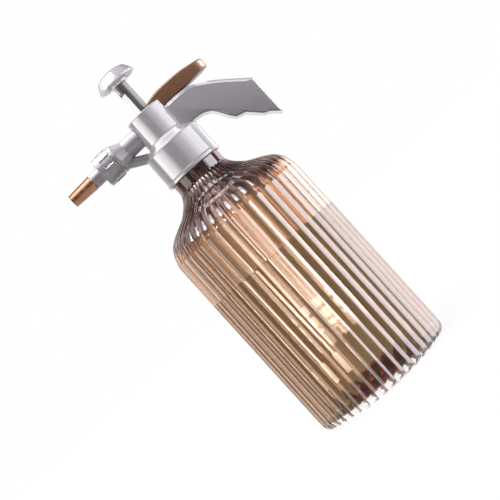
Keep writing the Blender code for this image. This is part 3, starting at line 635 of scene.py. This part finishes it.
stations = [-13.5 + 0.35 * i for i in range(9)] + [-10.0 + 1.2 * i for i in range(48)]
stations += [47.8 + 0.55 * i for i in range(15)] + [56.3, 56.6, 56.85, 57.0]
bm = bmesh.new()
rings = []
for x in stations:
    section = rounded_section(half_at(x), height_at(LOW_LINE, x), height_at(TOP_LINE, x), 1.5)
    rings.append([bm.verts.new((x * MM, y * MM, z * MM)) for y, z in section])
for a, b in zip(rings, rings[1:]):
    for i in range(len(a)):
        j = (i + 1) % len(a)
        bm.faces.new((a[i], a[j], b[j], b[i]))
bm.faces.new(rings[0])
bm.faces.new(rings[-1])
trigger = made("spray_trigger", bm)
EAR = corner([(-11.4, 250.0), (-11.4, 239.1, 2.4), (-6.6, 239.1, 2.4), (-6.6, 250.0)], steps=10)
cut(trigger, prism("ear", EAR, 8.2), "UNION")
cut(trigger, block("fork", -10.9, 11.6, -6.2, 6.2, 225.0, 285.0))
cut(trigger, block("stem_slot", -15.0, -10.0, -1.8, 1.8, 244.0, 255.0))
cut(trigger, bar("eye", Vector((PIVOT.x, -14.0, PIVOT.z)), Vector((PIVOT.x, 14.0, PIVOT.z)), 1.45, 32))
dress(trigger, BROWN, "trigger", ["trigger"])

# ------------------------------------------------------------------ nozzle
BODY = corner([(0, 30.0), (9.2, 30.0, 0.4), (9.2, 22.9), (12.0, 22.9, 0.35), (12.0, 20.3, 0.4), (11.2, 19.9, 0.2), (7.7, 12.4, 2.2),
               (7.7, -5.0), (0, -5.0)])
nozzle = revolve("nozzle_tube", BODY, 96, at=SPRAY)
cut(nozzle, bar("duct", DUCT_A, DUCT_B, DUCT_R, 64), "UNION")
cut(nozzle, envelope())
cut(nozzle, revolve("spigot", [(0, 4.0), (4.0, 4.0), (4.0, -1.6), (0, -1.6)], 48, at=SPRAY), "UNION")
BORE = [(0, 31.0), (4.6, 31.0), (4.6, 24.0), (3.5, 24.0), (3.5, 13.6), (1.75, 13.6), (1.75, 12.4), (2.95, 12.4),
        (2.95, 10.2), (1.75, 10.2), (1.75, 9.2), (3.1, 9.2), (3.1, -3.0), (0, -3.0)]
cut(nozzle, revolve("bore", BORE, 48, at=SPRAY))
cut(nozzle, bar("hole", DUCT_A + (DUCT_A - DUCT_B) * 0.02, DUCT_B, 1.4, 24))
cut(nozzle, bar("hole", DUCT_A + (DUCT_B - DUCT_A) * 0.06, Vector((-33.0, 0.0, 252.0)), 1.3, 24))
dress(nozzle, SPRAY_WHITE_LIT, "head", ["nozzle_body"])

NUT = [(r, s, 0.0) for r, s in corner([(9.5, 33.9), (9.5, 23.3, 0.2), (12.25, 23.3, 0.7), (12.3, 24.3)])]
NUT += [(12.4, 24.4, 0.1), (12.4, 24.6, 0.65), (12.4, 24.9, 0.85), (12.4, 28.0, 0.85), (12.4, 32.1, 0.85), (12.4, 32.4, 0.65),
        (12.4, 32.6, 0.1)]
NUT += [(r, s, 0.0) for r, s in corner([(12.3, 32.6), (12.3, 37.3, 1.1), (6.35, 37.3, 0.3), (6.35, 33.9)])]


def grip_ribs(row, angle):
    r, s, depth = row
    t = (angle / math.tau * 8.0 - 0.77) % 1.0
    return r - depth * min(1.0, max(0.0, (min(t, 1.0 - t) - 0.10) / 0.045))


nut = revolve("union_nut", NUT, 240, closed=True, shape=grip_ribs, at=SPRAY)
dress(nut, SPRAY_WHITE_LIT, "nut", ["nozzle_nut"])

SLEEVE = corner([(1.5, 57.0), (3.7, 57.0, 0.3), (3.7, 54.0), (3.05, 54.0), (3.05, 52.2), (3.7, 52.2), (3.7, 45.6),
                 (6.0, 45.6, 0.4), (6.0, 33.6), (9.1, 33.6), (9.1, 31.6), (1.5, 31.6)], closed=True)
sleeve = revolve("nozzle_pipe", SLEEVE, 80, closed=True, at=SPRAY)
dress(sleeve, SPRAY_WHITE_LIT, "head", ["nozzle_sleeve"])

TIP = corner([(0.7, 66.64, 0.15), (5.0, 66.64, 0.6), (5.7, 50.0, 6.0), (5.9, 47.4, 1.0), (5.9, 45.9, 0.35), (4.05, 45.9), (4.05, 61.2),
              (2.2, 63.0), (0.7, 63.6)], closed=True)
tip = revolve("spray_tip", TIP, 80, closed=True, at=SPRAY)
dress(tip, COPPER, "tip", ["nozzle_tip"])



def coil(name, radius, wire, start, end, turns, at, per_turn=30, sides=10):
    """A round wire wound about Z, with flat ends."""
    bm = bmesh.new()
    loops = []
    count = int(turns * per_turn)
    rise = (end - start) / (math.tau * turns)
    for i in range(count + 1):
        a = math.tau * turns * i / count
        out = Vector((math.cos(a), math.sin(a), 0.0))
        along = Vector((-radius * math.sin(a), radius * math.cos(a), rise)).normalized()
        over = along.cross(out)
        centre = out * radius + Vector((0.0, 0.0, start + rise * a))
        loops.append([bm.verts.new((centre + (out * math.cos(math.tau * k / sides) + over * math.sin(math.tau * k / sides)) * wire) * MM)
                      for k in range(sides)])
    for a, b in zip(loops, loops[1:]):
        for k in range(sides):
            bm.faces.new((a[k], a[(k + 1) % sides], b[(k + 1) % sides], b[k]))
    bm.faces.new(loops[0])
    bm.faces.new(loops[-1])
    return made(name, bm, at)


# the return spring, with a mesh of its own
spring = coil("return_spring", 2.15, 0.28, 0.4, 6.7, 4.0, SPRAY)
dress(spring, STEEL, "head", ["valve_spring"])
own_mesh(spring)

# ------------------------------------------------------------------ pump
KNOB = corner([(0, 302.5), (9.0, 302.4, 6.0), (12.4, 300.9, 2.6), (15.4, 296.0, 4.0), (16.2, 294.4, 0.8), (16.2, 293.2, 0.55),
               (14.2, 293.2, 0.5), (13.4, 294.6, 1.0), (11.2, 297.4, 1.2), (8.3, 298.0, 0.6), (8.3, 291.0, 0.7),
               (5.8, 291.0, 0.15), (5.8, 298.8), (0, 298.8)], steps=7)
knob = revolve("pump_knob", KNOB, 128)
dress(knob, WHITE, "plunger", ["plunger_knob"])

ROD = corner([(0, 298.4), (5.5, 298.4, 0.4), (5.5, 82.2, 0.2), (3.0, 82.2), (3.0, 67.0), (0, 67.0)])
rod = revolve("pump_rod", ROD, 96)
fx, fy = -math.sin(math.radians(55.0)), -math.cos(math.radians(55.0))
FLAT = Matrix(((fx, -fy, 0.0, 0.0), (fy, fx, 0.0, 0.0), (0.0, 0.0, 1.0, 0.0), (0.0, 0.0, 0.0, 1.0)))
cut(rod, prism("flat", [(4.2, 92.0), (7.0, 90.0), (7.0, 287.0), (4.2, 283.0)], 7.0, FLAT))
dress(rod, ROD_GREY, "plunger", ["plunger_rod"])

barrel = revolve("pump_tube", corner([(9.4, 235.0, 0.1), (10.5, 235.0, 0.3), (10.5, 47.5, 0.3), (9.4, 47.5, 0.3)], closed=True), 96,
                 closed=True)
for i in range(2):
    slot = prism("slot", corner([(-2.6, 45.0), (2.6, 45.0), (2.6, 55.5, 1.2), (-2.6, 55.5, 1.2)]), 15.0,
                 Matrix.Rotation(math.radians(20.0 + 90.0 * i), 4, "Z"))
    cut(barrel, slot)
dress(barrel, BARREL, "head", ["pump_barrel"])


def pipe(name, centres, outer, inner, count):
    bm = bmesh.new()
    skins = ([], [])
    for i, (x, z) in enumerate(centres):
        before, after = centres[max(0, i - 1)], centres[min(len(centres) - 1, i + 1)]
        t = Vector((after[0] - before[0], 0.0, after[1] - before[1])).normalized()
        side = Vector((0.0, 1.0, 0.0))
        up = t.cross(side)
        for skin, radius in zip(skins, (outer, inner)):
            skin.append([bm.verts.new((Vector((x, 0.0, z)) + (side * math.cos(math.tau * j / count)
                                                             + up * math.sin(math.tau * j / count)) * radius) * MM)
                         for j in range(count)])
    for skin in skins:
        for a, b in zip(skin, skin[1:]):
            for j in range(count):
                bm.faces.new((a[j], a[(j + 1) % count], b[(j + 1) % count], b[j]))
    for end in (0, -1):
        for j in range(count):
            k = (j + 1) % count
            bm.faces.new((skins[0][end][j], skins[0][end][k], skins[1][end][k], skins[1][end][j]))
    return made(name, bm)


DIP = [(DIP_X, 234.6), (DIP_X, 218.0), (DIP_X, 202.0)]
for i in range(1, 25):
    t = i / 24.0
    DIP.append((DIP_X - 5.2 * t * t * (1.6 - 0.6 * t), 202.0 - 170.0 * t))
dip = pipe("suction_tube", DIP, 2.4, 1.5, 32)
dress(dip, TUBE, "head", ["dip_tube"])

# ------------------------------------------------------------------ finishes of the nodes that stay
FINISH = {"amber_bottle": AMBER, "white_plastic": WHITE, "brown_plastic": BROWN, "copper_tip": COPPER, "pale_plastic": PALE,
          "black_rubber": RUBBER, "steel": STEEL, "dip_tube_plastic": TUBE}
STAYING = {"black_rubber": ["neck_gasket", "poppet_seal", "valve_oring", "nozzle_washer", "nozzle_oring", "piston_seal",
                            "barrel_gasket", "check_valve"],
           "steel": ["trigger_pin", "valve_stem"],
           "pale_plastic": ["piston", "rod_guide", "valve_bush", "valve_seat", "swirl_insert", "barrel_seat", "dip_strainer"]}
for slot_name, names in STAYING.items():
    for name in names:
        node = NODES[name]
        node.data.materials.clear()
        node.data.materials.append(FINISH[slot_name])
        for face in node.data.polygons:
            face.use_smooth = True
            face.material_index = 0
        node.data.set_sharp_from_angle(angle=math.radians(35.0))

# ------------------------------------------------------------------ floor and light
floor_mat = bpy.data.materials.new("pale_floor")
floor_mat.use_nodes = True
g = Graph(floor_mat.node_tree)
out = g.add("ShaderNodeOutputMaterial")
dull = g.add("ShaderNodeBsdfDiffuse")
dull.inputs["Color"].default_value = (0.25, 0.25, 0.25, 1.0)
glow = g.add("ShaderNodeEmission")
glow.inputs["Color"].default_value = (1.0, 1.0, 1.0, 1.0)
sight = g.add("ShaderNodeLightPath")
g.join(g.remap(sight.outputs["Is Camera Ray"], 0.0, 1.0, 0.0, 0.88), glow.inputs["Strength"])
both = g.add("ShaderNodeAddShader")
g.join(dull.outputs[0], both.inputs[0])
g.join(glow.outputs[0], both.inputs[1])
g.join(both.outputs[0], out.inputs["Surface"])
bm = bmesh.new()
bmesh.ops.create_circle(bm, cap_ends=True, segments=96, radius=6.0)
floor = made("floor", bm, Matrix.Translation((0.0, 0.0, -0.0006)))
floor.data.materials.append(floor_mat)
floor.visible_glossy = floor.visible_diffuse = floor.visible_transmission = False

# radiance round the object, by the angle from the camera's side towards +X
LIFT = 8.0
AROUND = [(-180, (0.95, 0.93, 0.92)), (-165, (1.3, 1.26, 1.22)), (-150, (0.95, 0.92, 0.9)), (-128, (0.80, 0.79, 0.77)), (-116, (0.45, 0.45, 0.44)), (-107, (0.1, 0.1, 0.1)), (-88, (0.1, 0.1, 0.1)),
          (-84, (1.7, 1.5, 1.36)), (-52, (1.7, 1.5, 1.36)), (-47, (0.1, 0.1, 0.1)), (0, (0.06, 0.06, 0.06)), (42, (0.1, 0.1, 0.1)),
          (55, (4.3, 4.15, 4.4)), (106, (4.2, 4.05, 4.25)), (120, (1.7, 1.64, 1.7)), (150, (1.05, 1.02, 1.04)), (180, (0.95, 0.93, 0.92))]
# and the same behind the object, for light that comes through it
THROUGH = [(-180, (0.43, 0.53, 0.42)), (-170, (0.55, 0.60, 0.54)), (-158, (1.10, 1.06, 1.03)), (-146, (1.52, 1.42, 1.40)), (-125, (1.05, 0.92, 0.91)),
           (-108, (0.35, 0.25, 0.22)), (-60, (0.30, 0.16, 0.13)), (0, (0.30, 0.15, 0.12)), (60, (0.30, 0.16, 0.13)), (106, (0.45, 0.33, 0.28)),
           (119, (2.2, 1.7, 1.5)), (130, (3.5, 2.75, 2.45)), (140, (4.4, 3.5, 3.1)), (149, (4.3, 3.4, 3.05)), (154, (0.9, 0.82, 0.78)),
           (166, (0.46, 0.52, 0.46)), (180, (0.43, 0.53, 0.42))]
world = bpy.data.worlds.new("studio")
world.use_nodes = True
SCENE.world = world
g = Graph(world.node_tree)
out = g.add("ShaderNodeOutputWorld")
axes = g.add("ShaderNodeSeparateXYZ")
g.join(g.add("ShaderNodeTexCoord").outputs["Generated"], axes.inputs[0])
x, y, z = axes.outputs
around = g.remap(g.math("ARCTAN2", x, g.math("MULTIPLY", y, -1.0)), -math.pi, math.pi, 0.0, 1.0)
sight = g.add("ShaderNodeLightPath")


def ring(table):
    return g.ramp(around, [((a + 180.0) / 360.0, tuple(v / LIFT for v in colour)) for a, colour in table])


def scaled(colour, amount):
    node = g.add("ShaderNodeVectorMath", operation="SCALE")
    g.join(colour, node.inputs[0])
    g.put(amount, node.inputs["Scale"])
    return node.outputs[0]


high = g.math("MULTIPLY", g.remap(z, 0.62, 0.70, 0.0, 1.0, True), g.remap(z, 0.90, 0.95, 1.0, 0.10, True))
high = g.math("MULTIPLY", high, g.math("MULTIPLY", g.remap(around, 0.34, 0.38, 0.02, 1.0, True),
                                       g.remap(around, 0.50, 0.54, 1.0, 0.02, True)))
low_side = g.math("MULTIPLY", g.remap(z, 0.30, 0.45, 1.0, 0.0, True), g.remap(z, -0.60, -0.40, 0.10, 1.0, True))
white = g.add("ShaderNodeRGB")
white.outputs[0].default_value = (1.0, 1.0, 1.0, 1.0)
side = g.math("MULTIPLY", g.math("MULTIPLY", g.remap(z, 0.50, 0.62, 0.0, 1.0, True), g.remap(z, 0.94, 0.98, 1.0, 0.1, True)),
              g.math("MULTIPLY", g.remap(around, 0.06, 0.14, 0.0, 1.0, True), g.remap(around, 0.30, 0.34, 1.0, 0.0, True)))
high = g.math("ADD", high, g.math("MULTIPLY", side, 0.22))
lit = g.mix(1.0, scaled(ring(AROUND), low_side), scaled(white.outputs[0], g.math("MULTIPLY", high, 4.0 / LIFT)), "ADD")
ground = g.math("MULTIPLY", g.remap(z, -0.40, -0.16, 1.0 / LIFT, 0.0, True), g.remap(sight.outputs["Is Glossy Ray"], 0.0, 1.0, 0.4, 1.15, True))
lit = g.mix(1.0, lit, scaled(white.outputs[0], ground), "LIGHTEN")
level = g.mix(g.remap(z, -0.42, -0.26, 1.0, 0.0, True), ring(THROUGH), (0.60 / LIFT, 0.54 / LIFT, 0.50 / LIFT, 1.0))
behind = g.mix(g.remap(z, 0.30, 0.60, 0.0, 1.0, True), level, (0.20 / LIFT, 0.085 / LIFT, 0.07 / LIFT, 1.0))
under = scaled(white.outputs[0], g.math("MULTIPLY", g.remap(z, -0.30, -0.10, 1.8 / LIFT, 0.0, True), g.remap(z, -0.52, -0.33, 0.3, 1.0, True)))
behind = g.mix(1.0, behind, under, "LIGHTEN")
shown = g.mix(sight.outputs["Is Transmission Ray"], lit, behind)
shown = g.mix(sight.outputs["Is Camera Ray"], shown, (1.0 / LIFT, 1.0 / LIFT, 1.0 / LIFT, 1.0))
back = g.add("ShaderNodeBackground")
back.inputs["Strength"].default_value = LIFT
g.join(shown, back.inputs["Color"])
g.join(back.outputs[0], out.inputs["Surface"])

# lamps that reach only some of the pieces


def lamp(name, kind, at, to, energy, colour, pieces, **settings):
    data = bpy.data.lights.new(name, kind)
    data.energy = energy
    data.color = colour
    for key, value in settings.items():
        setattr(data, key, value)
    ob = bpy.data.objects.new(name, data)
    SCENE.collection.objects.link(ob)
    at, to = Vector(at), Vector(to)
    ob.matrix_world = Matrix.Translation(at) @ (to - at).to_track_quat("-Z", "Y").to_matrix().to_4x4()
    ob.visible_camera = ob.visible_transmission = False
    group = bpy.data.collections.new(name + "_pieces")
    for piece in pieces:
        group.objects.link(piece)
    ob.light_linking.receiver_collection = group
    ob.light_linking.blocker_collection = group
    return ob


inside = [barrel, dip, rod] + [NODES[n] for n in ("piston", "piston_seal", "dip_strainer", "barrel_seat", "check_valve")]
lamp("wet_light", "SPOT", (0.10, -0.95, 0.14), (0.0, 0.0, 0.068), 174.0, (0.98, 0.955, 1.17), inside,
     spot_size=math.radians(10.5), spot_blend=0.6, shadow_soft_size=0.08)
lamp("dry_light", "SPOT", (0.10, -0.95, 0.20), (0.0, 0.0, 0.130), 70.0, (1.0, 0.72, 0.48), inside,
     spot_size=math.radians(9.0), spot_blend=0.8, shadow_soft_size=0.08)
WHITE_LIGHT = (1.0, 1.0, 1.0)
# strips round the head, each from one angle to another with its own radiance
GLOW = [(-94, -83, 6.4), (-83, -67, 4.7), (-67, -56, 3.5), (-56, -46, 3.1), (-46, -37, 2.2), (5, 18, 0.9), (18, 32, 1.7), (32, 50, 2.4),
        (57, 105, 1.0), (105, 146, 1.7)]
for i, (start, end, radiance) in enumerate(GLOW):
    a = math.radians(0.5 * (start + end))
    wide = 2.0 * math.tan(math.radians(0.5 * (end - start)))
    strip = lamp("glow_%d" % i, "AREA", (math.sin(a), -math.cos(a), 0.36), (0.0, 0.0, 0.25), radiance * math.pi * wide * 0.5, WHITE_LIGHT, [head],
                 shape="RECTANGLE", size=wide, size_y=0.50)
    strip.visible_diffuse = i > 1
lamp("side_light", "AREA", (-0.914, -0.407, 0.34), (0.0, 0.0, 0.24), 1.7, WHITE_LIGHT, [handle, trigger, knob],
     shape="RECTANGLE", size=0.36, size_y=0.26)
lamp("top_light", "AREA", (-0.12, -0.25, 1.25), (0.0, 0.0, 0.25), 9.5, WHITE_LIGHT, [handle, trigger, tip],
     shape="RECTANGLE", size=0.45, size_y=0.45)
lamp("deck_light", "AREA", (-0.05, -0.05, 1.25), (0.0, 0.0, 0.25), 28.0, WHITE_LIGHT, [head],
     shape="RECTANGLE", size=1.60, size_y=1.60)
lamp("spray_light", "AREA", (-0.20, 0.10, 1.22), (-0.04, 0.0, 0.26), 26.0, WHITE_LIGHT, [nut, sleeve, nozzle],
     shape="RECTANGLE", size=0.55, size_y=0.55)
lamp("knob_light", "AREA", (-0.38, -0.20, 1.17), (0.0, 0.0, 0.29), 30.0, WHITE_LIGHT, [knob],
     shape="RECTANGLE", size=0.95, size_y=0.95)
lamp("cup_light", "AREA", (-0.05, -0.45, -0.30), (0.0, 0.0, 0.29), 7.0, WHITE_LIGHT, [knob],
     shape="RECTANGLE", size=0.6, size_y=0.4)
lamp("foot_light", "AREA", (-0.32, -0.40, -0.55), (0.0, 0.0, 0.01), 18.0, WHITE_LIGHT, [bottle],
     shape="RECTANGLE", size=1.30, size_y=0.80)
lamp("under_light", "AREA", (0.0, 0.25, -0.70), (0.0, 0.0, 0.0), 13.0, (1.0, 0.93, 0.88), [bottle],
     shape="RECTANGLE", size=1.40, size_y=1.00)
lamp("spark_light", "AREA", (-0.34, -0.80, 1.02), (0.0, 0.0, 0.17), 3.2, WHITE_LIGHT, [bottle],
     shape="RECTANGLE", size=0.32, size_y=0.36)
lamp("right_light", "AREA", (0.95, 0.05, 0.25), (0.0, 0.0, 0.25), 3.0, (1.0, 0.98, 1.04),
     [handle, trigger, nozzle, nut, sleeve, knob, rod, tip], shape="RECTANGLE", size=1.30, size_y=0.70)
lamp("lever_light", "AREA", (0.98, -0.02, 0.30), (0.05, 0.0, 0.262), 17.0, WHITE_LIGHT, [trigger],
     shape="RECTANGLE", size=0.30, size_y=0.30)
lamp("edge_light", "AREA", (0.78, -0.06, 1.12), (0.05, 0.0, 0.24), 2.6, WHITE_LIGHT, [handle],
     shape="RECTANGLE", size=0.55, size_y=0.55)
lamp("rod_light", "AREA", (-0.94, 0.34, 0.30), (0.0, 0.0, 0.27), 7.0, WHITE_LIGHT, [rod],
     shape="RECTANGLE", size=0.40, size_y=0.60)

SCENE.view_settings.view_transform = "Standard"
SCENE.view_settings.look = "None"
SCENE.cycles.max_bounces = 24
SCENE.cycles.transmission_bounces = 24
SCENE.cycles.transparent_max_bounces = 16
SCENE.cycles.glossy_bounces = 8
SCENE.cycles.diffuse_bounces = 5
